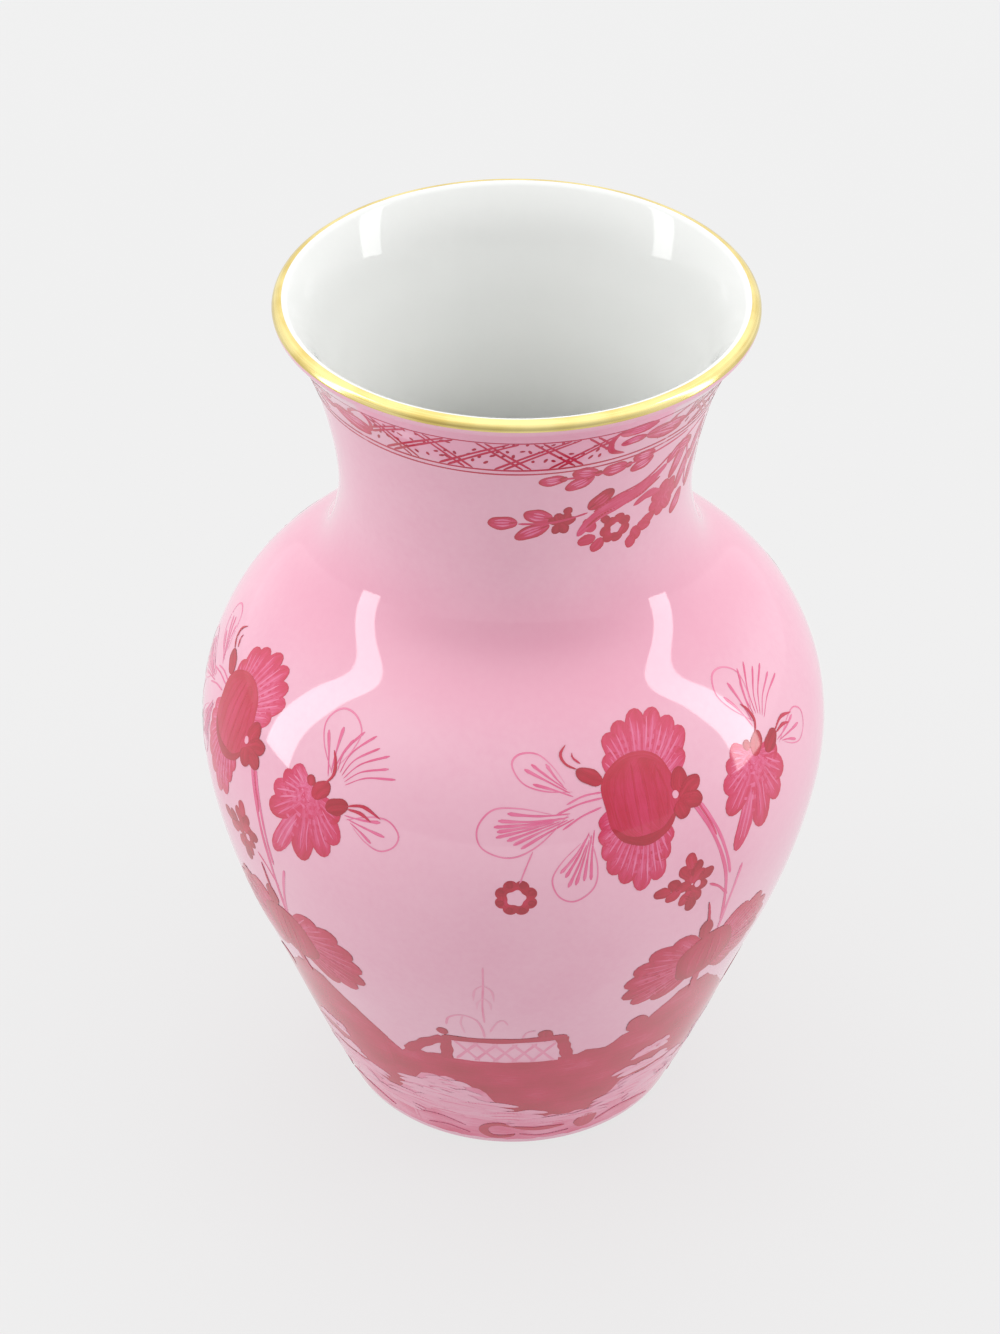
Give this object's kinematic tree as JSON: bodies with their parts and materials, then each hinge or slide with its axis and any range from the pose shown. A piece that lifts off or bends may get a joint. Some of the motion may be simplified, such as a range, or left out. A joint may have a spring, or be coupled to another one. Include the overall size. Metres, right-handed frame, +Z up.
{
  "type": "porcelain vase",
  "caption": "Tall porcelain vase with a flared gilded mouth, round shoulder, rose glaze outside, white glaze inside and an unglazed foot ring.",
  "frame": {"origin": "centre of the foot ring's underside, on the surface the vase stands on", "axes": "+Z up along the turning axis; the vase is pictured from -Y, with +X to the right"},
  "size_m": [0.2048, 0.2048, 0.3],
  "materials": {
    "biscuit": "biscuit-fired porcelain",
    "bare_foot": "unglazed, ground smooth",
    "rose_glaze": "glossy rose ground with crimson enamel painting",
    "white_glaze": "glossy white",
    "base_white": "glossy white",
    "gilding": "burnished gold leaf"
  },
  "bodies": {
    "root": {"porcelain_body": "biscuit", "foot_ring": "bare_foot", "outer_glaze": "rose_glaze", "inner_glaze": "white_glaze", "base_glaze": "base_white", "rim_gilding": "gilding"}
  },
  "joints": []
}
